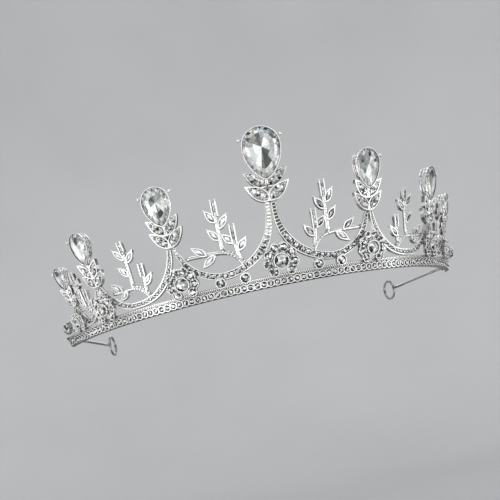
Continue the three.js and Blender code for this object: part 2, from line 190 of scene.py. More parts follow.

# Painted reflections: the brightness of a pear's main facets in tenths, two halves for each of
# eight,
# anticlockwise from the right: first the inner ends that meet in the middle, then the outer ends
PEAR_PAINTED_REFLECTIONS = dict(
    centre=(
        (7, 8, 10, 10, 4, 3, 3, 4, 9, 10, 9, 10, 4, 1, 1, 2),
        (5, 5, 6, 7, 6, 3, 5, 4, 5, 7, 7, 9, 3, 1, 1, 6),
    ),
    inner_left=(
        (6, 5, 4, 5, 4, 3, 1, 2, 4, 4, 8, 9, 9, 1, 6, 9),
        (7, 6, 4, 5, 9, 7, 8, 6, 6, 8, 8, 5, 3, 1, 1, 8),
    ),
    inner_right=(
        (6, 6, 8, 10, 4, 5, 6, 5, 5, 4, 6, 10, 10, 10, 7, 4),
        (6, 1, 9, 7, 1, 6, 5, 4, 2, 5, 3, 10, 10, 8, 5, 4),
    ),
    middle_left=(
        (6, 9, 5, 2, 1, 2, 8, 10, 10, 10, 10, 10, 9, 10, 8, 7),
        (9, 10, 6, 4, 2, 5, 9, 10, 10, 10, 9, 10, 8, 10, 7, 9),
    ),
    middle_right=(
        (10, 10, 6, 4, 2, 3, 4, 5, 6, 6, 5, 7, 9, 9, 10, 10),
        (10, 10, 4, 5, 1, 2, 3, 4, 7, 5, 6, 6, 9, 10, 10, 10),
    ),
    outer_left=(
        (6, 4, 2, 3, 1, 2, 4, 5, 9, 10, 10, 10, 10, 8, 7, 6),
        (5, 5, 3, 4, 2, 1, 6, 8, 10, 10, 10, 9, 7, 6, 5, 5),
    ),
    outer_right=(
        (7, 8, 10, 10, 10, 3, 9, 9, 5, 5, 4, 3, 2, 3, 6, 6),
        (9, 10, 10, 10, 7, 2, 3, 4, 9, 9, 5, 5, 1, 2, 6, 6),
    ),
)


# ---- Placing ----------------------------------------------------------------------

def wall(s, z, d):
    """A point on the wall, in metres."""
    angle = s / BAND_RADIUS
    radius = BAND_RADIUS + WALL_LEAN * z + d
    return Vector((radius * math.sin(angle), AXIS_BACK - radius * math.cos(angle), z)) * MM


def wall_frame(s, z, d):
    """A function that puts millimetres along, up and outward at a place on the wall."""
    angle = s / BAND_RADIUS
    along = Vector((math.cos(angle), math.sin(angle), 0))
    up = Vector((WALL_LEAN * math.sin(angle), -WALL_LEAN * math.cos(angle), 1)).normalized()
    out = along.cross(up)
    origin = wall(s, z, d)
    return lambda x, y, w: origin + (along * x + up * y + out * w) * MM


def smooth_line(points, per_span):
    """Catmull-Rom line through points of any number of parts."""
    before = [2 * a - b for a, b in zip(points[0], points[1])]
    after = [2 * a - b for a, b in zip(points[-1], points[-2])]
    row = [before, *points, after]
    line = []
    for i in range(1, len(row) - 2):
        for k in range(per_span):
            t = k / per_span
            line.append([
                0.5 * (2 * b + (c - a) * t + (2 * a - 5 * b + 4 * c - d) * t * t
                       + (3 * b - a - 3 * c + d) * t ** 3)
                for a, b, c, d in zip(row[i - 1], row[i], row[i + 1], row[i + 2])
            ])
    line.append(list(points[-1]))
    return line


def along_line(line, step_at, start):
    """Places at uneven steps along a line: the point, its direction and its own step."""
    spots, reach, due = [], 0.0, start
    for a, b in zip(line, line[1:]):
        length = math.dist(a[:2], b[:2])
        while length > 0 and due <= reach + length:
            t = (due - reach) / length
            spot = [p + (q - p) * t for p, q in zip(a, b)]
            run = ((b[0] - a[0]) / length, (b[1] - a[1]) / length)
            spots.append((spot, run))
            due += step_at(spot)
        reach += length
    return spots


def beside(spot, run, ahead, off):
    """The pattern place at a distance ahead of a spot and off to its left."""
    return (spot[0] + run[0] * ahead - run[1] * off, spot[1] + run[1] * ahead + run[0] * off)


def bar_loops(line, outline_at):
    """Sections of a bar along a line. outline_at gives rows of (offset, d) for a point."""
    loops = []
    for i, spot in enumerate(line):
        a, b = line[max(i - 1, 0)], line[min(i + 1, len(line) - 1)]
        length = math.dist(a[:2], b[:2])
        run = ((b[0] - a[0]) / length, (b[1] - a[1]) / length)
        loops.append([wall(*beside(spot, run, 0, v), d) for v, d in outline_at(i)])
    return loops


# ---- Shapes -----------------------------------------------------------------------

def circle(radius, count, lead=0.0):
    """Points (x, y) anticlockwise round a circle, the first at the angle lead."""
    return [(radius * math.cos(lead + 2 * math.pi * i / count),
             radius * math.sin(lead + 2 * math.pi * i / count)) for i in range(count)]


class Shape:
    """Points and faces, with a painted brightness (painted light and shade, partly random) and a
    shading for each face.
    """

    def __init__(self, seed=0):
        self.points, self.faces, self.tones, self.smooth = [], [], [], []
        self.draw = random.Random(seed)

    def face(self, corners, tone=1.0, smooth=False):
        self.faces.append(corners)
        self.tones.append(tone)
        self.smooth.append(smooth)

    def skin(self, loops, tone=1.0, ring=False, smooth=False, caps=True):
        """Closed skin over equal loops. tone is a number or a function of span and side."""
        base, size = len(self.points), len(loops[0])
        self.points += [p for loop in loops for p in loop]
        value = tone if callable(tone) else (lambda i, j: tone)
        for i in range(len(loops) if ring else len(loops) - 1):
            a, b = base + i * size, base + (i + 1) % len(loops) * size
            for j in range(size):
                k = (j + 1) % size
                self.face([a + j, a + k, b + k, b + j], value(i, j), smooth)
        if caps and not ring:
            last = base + (len(loops) - 1) * size
            self.face(list(range(base, base + size))[::-1], value(0, 0), False)
            self.face(list(range(last, last + size)), value(len(loops) - 2, 0), False)

    def bead(self, place, x, y, w, radius, tone=1.0, sides=8, rings=5):
        """Small polished ball."""
        loops = []
        for i in range(1, rings):
            turn = math.pi * i / rings
            loops.append([place(x + cx, y + cy, w - radius * math.cos(turn))
                          for cx, cy in circle(radius * math.sin(turn), sides)])
        self.skin(loops, tone, smooth=True)

    def block(self, place, x_span, y_span, w_span, tone, chamfer=0.06):
        """Rectangular block with its front edges bevelled."""
        (x0, x1), (y0, y1), (w0, w1), c = x_span, y_span, w_span, chamfer
        corners = [(x0, y0), (x1, y0), (x1, y1), (x0, y1)]
        top = [(x0 + c, y0 + c), (x1 - c, y0 + c), (x1 - c, y1 - c), (x0 + c, y1 - c)]
        self.skin([[place(x, y, w) for x, y in outline]
                   for outline, w in ((corners, w0), (corners, w1 - c), (top, w1))], tone)

    def ring(self, place, x, y, profile, tones, sides=18, wave=None):
        """Turned ring. profile is a closed row of (radius, height)."""
        loops = []
        for i, (cx, cy) in enumerate(circle(1, sides)):
            grow = wave(i) if wave else 0
            loops.append([place(x + (r + grow) * cx, y + (r + grow) * cy, w)
                          for r, w in profile])
        self.skin(loops, lambda i, j: tones[j], ring=True)

    def tube(self, spots, radius, sides=12, tone=1.0, closed=False):
        """Round wire through points in metres. radius is in metres."""
        loops, side = [], None
        for i, p in enumerate(spots):
            ahead = spots[(i + 1) % len(spots)] if closed else spots[min(i + 1, len(spots) - 1)]
            behind = spots[i - 1] if closed or i else spots[0]
            run = (ahead - behind).normalized()
            side = side or (Vector((0, 0, 1)).cross(run) if abs(run.z) < 0.9
                            else Vector((1, 0, 0)))
            side = (side - run * side.dot(run)).normalized()
            up = run.cross(side)
            r = radius(i) if callable(radius) else radius
            loops.append([
                p + (side * math.cos(2 * math.pi * j / sides)
                     + up * math.sin(2 * math.pi * j / sides)) * r
                for j in range(sides)
            ])
        self.skin(loops, tone, ring=closed, smooth=True)

    def facets(self, place, table, girdle, centre, crown, depth, tones=None, bright=1.0,
               dark=0.2):
        """Cut stone. table and girdle are rows of (x, y), the girdle twice as long.
        Its painted reflections run round the crown in bright and near-black arcs, as in a
        foil-backed stone, and the table facets get painted reflections at random."""
        base, n = len(self.points), len(table)
        cx, cy, w = centre
        lead = self.draw.uniform(0, 1)
        near_dark, far_dark = 0.6 * dark, 0.4 * dark

        def painted_crown_reflection(share):
            off = abs((share - lead + 0.5) % 1 - 0.5)
            if off < near_dark or 0.5 - far_dark < off:
                return self.draw.uniform(0.0, 0.08)
            if off < near_dark + 0.1:
                return bright
            return bright * self.draw.uniform(0.35, 0.75)

        def painted_table_reflection():
            pick = self.draw.random()
            if pick < near_dark:
                return 0.06
            return bright * (self.draw.uniform(0.38, 0.68) if pick < 0.66 else 1.0)

        self.points += [place(x, y, w + crown) for x, y in table]
        self.points += [place(x, y, w) for x, y in girdle]
        self.points += [place(cx, cy, w + crown * 1.12), place(cx, cy, w - depth)]
        top, bottom = base + 3 * n, base + 3 * n + 1
        for i in range(n):
            k = (i + 1) % n
            g = base + n + 2 * i
            g1, g2 = g + 1, base + n + (2 * i + 2) % (2 * n)
            self.face([base + i, g, g1], painted_crown_reflection(i / n))
            self.face([base + i, g1, base + k], painted_crown_reflection((i + 0.5) / n))
            self.face([base + k, g1, g2], painted_crown_reflection((i + 1) / n))
            self.face([top, base + i, base + k], tones[i] if tones else painted_table_reflection())
            self.face([bottom, g1, g], 0.45)
            self.face([bottom, g2, g1], 0.6)

    def round_stone(self, place, x, y, w, radius, sides=8, bright=1.0, dark=0.2):
        """Brilliant-cut round stone, its girdle at height w."""
        turn = self.draw.uniform(0, math.pi / sides)

        def around(r, count):
            return [(x + cx, y + cy) for cx, cy in circle(r, count, turn)]

        self.facets(place, around(radius * 0.58, sides), around(radius, 2 * sides),
                    (x, y, w), radius * 0.42, radius * 0.5, bright=bright, dark=dark)


def build(name, shape, material, slot, *nodes):
    """Makes the piece, with its facets' painted light and shade as an attribute, and seats it.
    """
    mesh = bpy.data.meshes.new(name)
    mesh.from_pydata([tuple(p) for p in shape.points], [], shape.faces)
    tone = mesh.attributes.new("tone", "FLOAT", "FACE")
    tone.data.foreach_set("value", shape.tones)
    mesh.polygons.foreach_set("use_smooth", shape.smooth)
    outward = bmesh.new()
    outward.from_mesh(mesh)
    bmesh.ops.recalc_face_normals(outward, faces=outward.faces)
    outward.to_mesh(mesh)
    outward.free()
    mesh.materials.append(material)
    piece = bpy.data.objects.new(name, mesh)
    bpy.context.scene.collection.objects.link(piece)
    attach(piece, "root")
    if nodes:
        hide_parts(*nodes)


def build_set(metal_name, stones_name, shapes, node):
    """Makes the metal that stands for a node, and the small stones that it holds."""
    metal, stones = shapes
    build(metal_name, metal, METAL, SLOT_METAL, node)
    build(stones_name, stones, CRYSTAL, SLOT_CRYSTAL)


# ---- Materials --------------------------------------------------------------------

def feed(tree, node, inputs):
    """Gives a node's inputs their numbers and colours, or other nodes' outputs."""
    for name, value in inputs.items():
        if isinstance(value, bpy.types.NodeSocket):
            tree.links.new(value, node.inputs[name])
        else:
            node.inputs[name].default_value = value


def add_node(tree, kind, inputs=None):
    node = tree.nodes.new(f"ShaderNode{kind}")
    feed(tree, node, inputs or {})
    return node


def new_material(name, make_inputs):
    """Material of one surface shader. make_inputs gives its inputs for a node tree."""
    material = bpy.data.materials.new(name)
    material.use_nodes = True
    tree = material.node_tree
    tree.nodes.clear()
    surface = add_node(tree, "BsdfPrincipled", make_inputs(tree))
    add_node(tree, "OutputMaterial", {"Surface": surface.outputs["BSDF"]})
    return material


def noise(tree, scale, detail=3):
    """Fine variation in the object's own coordinates."""
    place = add_node(tree, "TexCoord").outputs["Object"]
    node = add_node(tree, "TexNoise", {"Scale": scale, "Detail": detail, "Vector": place})
    return node.outputs["Fac"]


def remap(tree, value, low, high, new_low, new_high):
    """Value taken from one span to another."""
    node = add_node(tree, "MapRange", {"Value": value, "From Min": low, "From Max": high,
                                       "To Min": new_low, "To Max": new_high})
    return node.outputs["Result"]


def grey(value, blue=0.0):
    """A neutral colour, or a slightly cool one."""
    return (value, value, value + blue)


def ramp(tree, value, stops):
    """Colour ramp with stops of (place, colour)."""
    node = add_node(tree, "ValToRGB", {"Fac": value})
    elements = node.color_ramp.elements
    while len(elements) < len(stops):
        elements.new(0.5)
    for element, (place, colour) in zip(elements, stops):
        element.position = place
        element.color = (*colour, 1)
    return node.outputs["Color"]


def painted_light_times_grain(tree, grain):
    """The painted light and shade given to each face, times a fine grain."""
    tone = add_node(tree, "Attribute")
    tone.attribute_name = "tone"
    node = add_node(tree, "Math", {0: tone.outputs["Fac"], 1: grain})
    node.operation = "MULTIPLY"
    return node.outputs["Value"]


def mix_colours(tree, blend, factor, a, b):
    """Mix of two colours."""
    node = add_node(tree, "Mix")
    node.data_type = "RGBA"
    node.blend_type = blend
    feed(tree, node, {"Factor": factor, "A": a, "B": b})
    return node.outputs["Result"]


def bump(tree, height, strength, distance):
    node = add_node(tree, "Bump", {"Height": height, "Strength": strength,
                                   "Distance": distance})
    return node.outputs["Normal"]


def metal_material(name, dark, bright, rough_low, rough_high, bump_height):
    """Bright plated alloy with painted shade: each face's painted brightness darkens its
    recesses, undersides and inner walls and lightens its rims, with a fine cast skin.
    """
    middle = [0.55 * c for c in bright]
    return new_material(name, lambda tree: {
        "Base Color": ramp(tree, painted_light_times_grain(tree, remap(tree, noise(tree, 900), 0.3, 0.7, 0.78, 1.0)),
                           [(0, dark), (0.5, middle), (1, bright)]),
        "Metallic": 1,
        "Roughness": remap(tree, noise(tree, 2500), 0.3, 0.7, rough_low, rough_high),
        "Normal": bump(tree, noise(tree, 1800, 4), 0.35, bump_height),
    })


def crystal_material(name, tint_a, tint_b):
    """Foil-backed cut crystal with painted reflections: each facet's painted brightness stands
    for its own share of returned light.
    """
    def inputs(tree):
        cloudy = remap(tree, noise(tree, 1400, 2), 0.3, 0.7, 0.78, 1.08)
        colour = ramp(tree, painted_light_times_grain(tree, cloudy), [
            (0, (0.012, 0.014, 0.014)), (0.25, (0.09, 0.097, 0.097)),
            (0.6, (0.5, 0.515, 0.51)), (0.94, (0.98, 0.99, 0.98)),
        ])
        tint = ramp(tree, noise(tree, 420, 1), [(0.36, tint_a), (0.5, grey(1)), (0.66, tint_b)])
        return {
            "Base Color": mix_colours(tree, "MULTIPLY", 0.6, colour, tint),
            "Metallic": 0.35,
            "IOR": 1.6,
            "Coat Weight": 0.4,
            "Coat Roughness": 0.02,
            "Roughness": remap(tree, noise(tree, 2500), 0.3, 0.7, 0.03, 0.1),
        }

    return new_material(name, inputs)


def floor_material():
    """Matt pale paper."""
    return new_material("pale_floor", lambda tree: {
        "Base Color": ramp(tree, noise(tree, 6),
                           [(0.3, (0.365, 0.369, 0.375)), (0.7, (0.385, 0.389, 0.395))]),
        "Roughness": 0.9,
        "Specular IOR Level": 0.1,
    })


METAL = metal_material("plated_metal", (0.02, 0.021, 0.022), (0.945, 0.945, 0.935),
                       0.12, 0.26, 0.00004)
WIRE = metal_material("smooth_wire", (0.06, 0.06, 0.065), (0.34, 0.34, 0.35),
                      0.05, 0.14, 0.00001)
CRYSTAL = crystal_material("cut_crystal", (0.88, 0.96, 1.0), (1.0, 0.97, 0.86))


# ---- Band -------------------------------------------------------------------------

def row_places():
    """Where the crystals of the band stand along it."""
    count = int(2 * ROW_HALF_ARC / ROW_PITCH)
    return [(i - (count - 1) / 2) * ROW_PITCH for i in range(count)]


def band_metal():
    """Grooved band with a beaded ledge, and a ring and two beads for each crystal."""
    shape = Shape(1)
    steps = 150
    top = BAND_HEIGHT - LEDGE_HEIGHT
    profile = [
        (0.15, BAND_BACK), (0.15, -0.75), (0.5, -0.3), (top - 0.22, -0.25),
        (top, BAND_FRONT - 0.12), (top + 0.12, BAND_FRONT), (BAND_HEIGHT - 0.12, BAND_FRONT),
        (BAND_HEIGHT, BAND_FRONT - 0.12), (BAND_HEIGHT, BAND_BACK + 0.15),
        (BAND_HEIGHT - 0.15, BAND_BACK), (1.6, BAND_BACK + 0.12),
    ]
    # Painted shade: the underside and lower faces of the band are painted darker than its top,
    # as light falls from above.
    tones = [0.12, 0.3, 0.45, 0.7, 0.85, 0.4, 0.9, 0.85, 0.8, 0.7, 0.35]
    loops = []
    for i in range(steps + 1):
        s = BAND_HALF_ARC * (1 - 2 * i / steps)
        loops.append([wall(s, z, d) for z, d in profile])
    shape.skin(loops, lambda i, j: tones[j])
    for s in row_places():
        # Painted shade on each ring's outer and inner walls and underside, its top painted
        # light.
        shape.ring(lambda x, y, w, s=s: wall(s + x, ROW_Z + y, w), 0, 0,
                   [(1.32, -0.7), (1.32, 0.22), (1.26, 0.3), (1.02, 0.3), (0.96, -0.2)],
                   [0.3, 0.8, 0.85, 0.2, 0.2], sides=16)
        for up in (-1, 1):
            shape.bead(wall, s + ROW_PITCH / 2, ROW_Z + up * 0.78, 0.34, 0.3)
        for k in range(3):
            x = s + ROW_PITCH * (k + 0.5) / 3
            shape.bead(wall, x, BAND_HEIGHT - 0.42, BAND_FRONT + 0.02, 0.27, 0.9, 6, 4)
            x -= ROW_PITCH / 6
            shape.bead(wall, x, top - 0.08, BAND_FRONT - 0.02, 0.24, 0.8, 6, 4)
    return shape


def band_stones():
    """One round crystal in each ring of the row."""
    shape = Shape(2)
    for s in row_places():
        shape.round_stone(wall, s, ROW_Z, 0.16, ROW_STONE, dark=0.32)
    return shape


# ---- Rails ------------------------------------------------------------------------

def rail_pieces(side, points, seed, leg=None):
    """Channel with a row of stones. A narrow leg is closely set or barred as a ladder."""
    metal, stones = Shape(seed), Shape(seed + 1)
    line = [(side * s, z, width) for s, z, width in smooth_line(points, 5)]
    lip = LEG_LIP if leg else RAIL_LIP

    def profile(half):
        inner = half - lip
        return [
            (-half, RAIL_BACK), (-half, -0.1), (-half + 0.08, 0), (-inner, 0),
            (-inner + 0.04, RAIL_FLOOR), (inner - 0.04, RAIL_FLOOR), (inner, 0),
            (half - 0.08, 0), (half, -0.1), (half, RAIL_BACK),
        ]

    # Painted light and shade: the lips are painted bright and the outer walls, inner walls and
    # floor dark; on the barred leg the floor between the bars is painted near black as shade.
    tones = [0.35, 0.9, 1.0, 0.3, 0.35, 0.3, 1.0, 0.9, 0.35, 0.7]
    metal.skin(bar_loops(line, lambda i: profile(line[i][2] / 2)),
               lambda i, j: 0.1 if leg == "ladder" and line[i][1] > LEG_FOOT
               and 3 <= j <= 5 else tones[j])

    def stone_radius(spot):
        return spot[2] / 2 - lip + 0.03

    for spot, run in along_line(line, lambda p: 2 * stone_radius(p) + 0.24, 0.6):
        radius = stone_radius(spot)
        # On the closely set leg the stones are painted bright, with no dark arcs, as the lit
        # side.
        close = leg == "close" and spot[1] > LEG_FOOT - 3
        if leg == "ladder" and spot[1] > LEG_FOOT:
            continue
        stones.round_stone(wall, spot[0], spot[1], -0.1, radius, 8 if radius > 0.55 else 6,
                           1.0, 0.0 if close else 0.24)
        for way in (-1, 1):
            x, y = beside(spot, run, radius + 0.12, way * 0.55 * radius)
            metal.bead(wall, x, y, 0.04, 0.1 + 0.14 * radius, sides=6, rings=4)
    for spot, run in along_line(line, lambda p: BAR_PITCH, 0.3) if leg else []:
        if spot[1] > LEG_FOOT:
            half, reach = BAR_HALF[leg], spot[2] / 2 - 0.12
            metal.block(lambda x, y, w, spot=spot, run=run: wall(*beside(spot, run, x, y), w),
                        (-half, half), (-reach, reach), (-0.3, 0.25), 1.0, 0.12)
    return metal, stones


# ---- Leaves -----------------------------------------------------------------------

def leaf_half(u):
    """Half width of a leaf of unit width at a share u of its length."""
    return 0.5 * math.sin(math.pi * min(max(u, 0), 1) ** 0.8) ** 0.85


def leaf_place(base, tip, place=wall):
    """A leaf's length, and a function that puts its (along, across, out) on the wall."""
    length = math.dist(base, tip)
    run = ((tip[0] - base[0]) / length, (tip[1] - base[1]) / length)
    return length, lambda u, v, w: place(*beside(base, run, u, v), w)


def leaf_outline(length, width, inset, count=9):
    """Outline of a leaf, drawn in by inset, as (along, across)."""
    us = [0.5 - 0.5 * math.cos(math.pi * i / count) for i in range(count + 1)]
    ahead = inset * 1.6
    scale = (length - 2 * ahead) / length
    half = [max(leaf_half(u) * width - inset, 0.0) for u in us]
    right = [(ahead + u * scale * length, -h) for u, h in zip(us, half)]
    left = [(ahead + u * scale * length, h) for u, h in zip(us, half)]
    return right + left[-2:0:-1]


def leaf_rim(shape, base, tip, width, back, front, rim, floor, place=wall):
    """Leaf-shaped tray: a raised rim painted bright as a highlight round a sunk floor painted
    dark as shade.
    """
    length, place = leaf_place(base, tip, place)
    outer = leaf_outline(length, width, 0)
    soft = leaf_outline(length, width, 0.07)
    inner = leaf_outline(length, width, rim)
    foot = leaf_outline(length, width, rim + 0.06)

    def loop(outline, w):
        return [place(u, v, w) for u, v in outline]

    # Painted light and shade: the rim's top bright, the outer wall, inner wall and floor dark.
    tones = [0.35, 0.9, 1.0, 0.3]
    shape.skin([loop(outer, back), loop(outer, front - 0.1), loop(soft, front),
                loop(inner, front), loop(foot, floor)],
               lambda i, j: tones[min(i, 3)])
    return length, place


def marquise(shape, base, tip, width, w, crown, tones):
    """Long pointed stone with a keel."""
    length, place = leaf_place(base, tip)
    count = 4
    girdle = leaf_outline(length, width, 0.34, 2 * count)
    table = leaf_outline(length, width, 0.34 + 0.16 * width, count)
    shape.facets(place, table, girdle, (length * 0.48, 0, w), crown, 0.5,
                 [shape.draw.choice(tones) for _ in table], max(tones),
                 0.04 if min(tones) > 0.5 else 0.25)


def leaf_cluster(side, peak, seed):
    """Four leaves of three stones, a stalk, and the bracket that holds the pear."""
    metal, stones = Shape(seed), Shape(seed + 1)
    centre = side * peak["at"]
    for way in (-1, 1):
        for (reach, tip_z), foot_z, lean in (
            (peak["low"], peak["foot"], LOW_LEAN), (peak["high"], peak["high_foot"], HIGH_LEAN),
        ):
            def curled(s, z, d, foot_z=foot_z, lean=lean):
                return wall(s, z, d + lean * max(0, z - foot_z))

            base = (centre - way * 0.35, foot_z)
            tip = (centre + way * reach, tip_z)
            length, place = leaf_rim(metal, base, tip, peak["leaf"], LEAF_BACK, LEAF_FRONT,
                                     0.3, LEAF_FRONT - 0.35, curled)
            for u, share in ((0.3, 0.8), (0.57, 0.95), (0.79, 0.8)):
                radius = share * (leaf_half(u) * peak["leaf"] - 0.28)
                stones.round_stone(place, u * length, 0, LEAF_FRONT - 0.15, radius, 7,
                                   dark=0.12)
                for turn in (0.7, 2.4, 3.9, 5.5):
                    metal.bead(place, u * length + (radius + 0.1) * math.cos(turn),
                               (radius + 0.02) * math.sin(turn), LEAF_FRONT - 0.05, 0.2,
                               sides=6, rings=4)
            for u in (0.14, 0.88):
                metal.bead(place, u * length, 0, LEAF_FRONT - 0.12, 0.24, sides=6, rings=4)
    metal.tube([wall(centre, peak["foot"] + z, -0.4) for z in (-0.6, 1.6)], 0.55 * MM, 8)
    place, height = pear_place(side, peak), peak["height"]
    tip = -height * (1 - WIDEST_FROM_TOP)
    metal.tube([wall(centre, peak["high_foot"] - 1.2, -0.5), place(0, tip - 1.2, -0.1),
                place(0, tip - 0.1, 0.2), place(0, tip + 0.7, 0.1 * peak["depth"])],
               lambda i: (0.5, 0.75, 0.8, 0.45)[i] * MM, 10)
    for way in (-1, 1):
        spots = []
        for y in (0.2, 0.9, 1.7, 2.6):
            x = peak["width"] / 2 * (1 - (1 + y / tip) ** 2) ** (TIP_POWER / 2)
            spots.append(place(way * (x + 0.28), tip + y, 0.15 * peak["depth"] + 0.12 * y))
        metal.tube(spots, lambda i: (0.5, 0.5, 0.42, 0.2)[i] * MM, 8)
    return metal, stones


# ---- Pears ------------------------------------------------------------------------

def pear_loop(width, height, sides, lead=0.5):
    """Pear outline, point down, centred on its widest line."""
    above = height * WIDEST_FROM_TOP
    below = height - above
    loop = []
    for i in range(sides):
        turn = 2 * math.pi * (i + lead) / sides
        x, y = math.cos(turn), math.sin(turn)
        reach = abs(x) ** (TIP_POWER if y < 0 else 1)
        loop.append((math.copysign(reach, x) * width / 2, y * (below if y < 0 else above)))
    return loop


def pear_place(side, peak):
    slope = math.hypot(1, WALL_LEAN)
    return wall_frame(side * peak["at"],
                      peak["top"] - peak["height"] * WIDEST_FROM_TOP / slope, 0)


def pear_setting(side, peak):
    """Fine bezel on a pierced gallery, with two ball-tipped prongs."""
    shape = Shape(5)
    place = pear_place(side, peak)
    width, height, depth = peak["width"], peak["height"], peak["depth"]
    back, front = -0.6 * depth, 0.4 * depth

    def loop(inset, taper, w):
        return [place(x, y, w) for x, y in
                pear_loop(width * taper - 2 * inset, height * taper - 2 * inset, PEAR_SIDES)]

    def taper_at(w):
        return BACK_TAPER + (1 - BACK_TAPER) * (w - back) / (front - back)

    middle = back + 0.42 * depth
    bands = [(front - 0.75, front, RIM_WALL - 0.08), (back, back + 0.55, 0.5),
             (middle, middle + 0.35, 0.4)]
    # Painted shade: each band's inner wall is painted near black and its underside dark, while
    # its outer wall and top are painted light.
    tones = [0.95, 0.9, 0.95, 0.1, 0.4]
    for low, high, thick in bands:
        a, b = taper_at(low), taper_at(high)
        shape.skin([loop(0, a, low), loop(0, b, high - 0.1), loop(0.06, b, high),
                    loop(thick, b, high), loop(thick, a, low)],
                   lambda i, j: tones[i], ring=True)
    bars = 2 * round((width + height) / 1.9)
    low_line = pear_loop(width * BACK_TAPER - 0.6, height * BACK_TAPER - 0.6, bars)
    high_line = pear_loop(width - 0.7, height - 0.7, bars)
    for (x0, y0), (x1, y1) in zip(low_line, high_line):
        shape.tube([place(x0, y0, back + 0.2), place(x1, y1, front - 0.4)], 0.26 * MM, 6, 1.0)
    for way in (-1, 1):
        x = way * (width / 2) * math.cos(PRONG_TURN)
        y = height * WIDEST_FROM_TOP * math.sin(PRONG_TURN)
        w = front - 0.55
        tip = x + way * (PRONG_REACH - 0.05)
        shape.tube([place(x - way * 0.35, y, w - 0.5), place(x + way * 0.3, y, w),
                    place(tip, y, w)], 0.3 * MM, 8, 0.8)
        shape.bead(place, tip, y, w + 0.02, BALL_RADIUS, sides=12, rings=8)
    return shape


def pear_stone(side, peak, name):
    """Big pear crystal: a ring of crown facets round a table of long mains, all with painted
    reflections.
    """
    shape = Shape(sum(map(ord, name)))
    place = pear_place(side, peak)
    width = peak["width"] - 2 * RIM_WALL - 0.3
    height = peak["height"] - 2 * RIM_WALL - 0.3
    girdle_w = 0.4 * peak["depth"] - 0.12
    table_w = girdle_w + 0.14 * peak["depth"]
    culet_w = girdle_w - 0.5 * peak["depth"]
    inner, outer = ([tenths / 10 for tenths in row] for row in PEAR_PAINTED_REFLECTIONS[name])
    count = PEAR_MAINS

    def row(scale, sides, lead, w):
        start = len(shape.points)
        shape.points += [place(x, y, w)
                         for x, y in pear_loop(width * scale, height * scale, sides, lead)]
        return start

    girdle = row(1, 4 * count, 0, girdle_w)
    crown = row(0.86, 4 * count, 0.5, girdle_w + 0.55 * (table_w - girdle_w))
    table = row(0.72, 2 * count, 0, table_w)
    star = row(0.46, 2 * count, 0, table_w + 0.12)
    centre = len(shape.points)
    shape.points.append(place(0, -0.02 * height, table_w + 0.2))
    belt = row(0.74, 4 * count, 0, (girdle_w + culet_w) / 2)
    culet = row(0.4, 4 * count, 0, culet_w)

    # Painted reflections on the crown: facets mid or bright at random, and a few near black at
    # the top of the outer ring.
    def painted_crown_reflection(i, calm):
        near_top = abs((i / (4 * count) * 360 + 90) % 360 - 180) < 42
        pick = shape.draw.random()
        if calm and near_top and pick < 0.24:
            return 0.05
        if pick < 0.45:
            return shape.draw.uniform(0.32, 0.52)
        return shape.draw.uniform(0.55, 0.8) if calm else shape.draw.uniform(0.65, 1.0)

    for i in range(4 * count):
        k = (i + 1) % (4 * count)
        shape.face([girdle + i, girdle + k, crown + i], painted_crown_reflection(i, True))
        shape.face([crown + i, girdle + k, crown + k], painted_crown_reflection(i, True))
        # The pavilion is painted dark next to the girdle as shade and lighter towards the culet.
        shape.face([girdle + k, girdle + i, belt + i, belt + k],
                   shape.draw.uniform(0.0, 0.25))
        shape.face([belt + k, belt + i, culet + i, culet + k],
                   shape.draw.uniform(0.4, 0.9))
    for i in range(2 * count):
        k = (i + 1) % (2 * count)
        a, b, c = crown + (2 * i - 1) % (4 * count), crown + 2 * i, crown + 2 * i + 1
        shape.face([table + i, a, b], painted_crown_reflection(2 * i, False))
        shape.face([table + i, b, c, table + k], painted_crown_reflection(2 * i, False))
    for i in range(0, 2 * count, 2):
        before, after = (i - 1) % (2 * count), i + 1
        shape.face([centre, star + before, star + i], inner[i])
        shape.face([centre, star + i, star + after], inner[after])
        shape.face([star + i, star + before, table + before, table + i], outer[i])
        shape.face([star + i, table + i, table + after, star + after], outer[after])
    shape.face([culet + i for i in range(4 * count)][::-1], 0.7)
    return shape


# ---- Flowers and single cups --------------------------------------------------------

def stone_cup(metal, stones, place, x, y, radius, low, high, prongs=4, sides=8, lead=0.4,
              bright=0.8):
    """Round stone in a low cup held by beads."""
    # Painted light and shade: the cup's top rim is painted bright, its outer wall mid, and its
    # inner wall and seat dark.
    metal.ring(place, x, y, [(radius - 0.1, low), (radius, low + 0.1), (radius, high - 0.12),
                             (radius - 0.08, high), (radius - 0.32, high),
                             (radius - 0.4, high - 0.3), (radius - 0.4, low + 0.4),
                             (0.2, low + 0.4), (0.2, low)],
               [0.5, 0.5, 0.95, 1.0, 0.3, 0.2, 0.3, 0.4, 0.7], sides=18)
    stones.round_stone(place, x, y, high - 0.08, radius - 0.33, sides, bright, 0.34)
    for cx, cy in circle(radius - 0.36, prongs, lead):
        metal.bead(place, x + cx, y + cy, high + 0.1, 0.22 + 0.06 * radius)


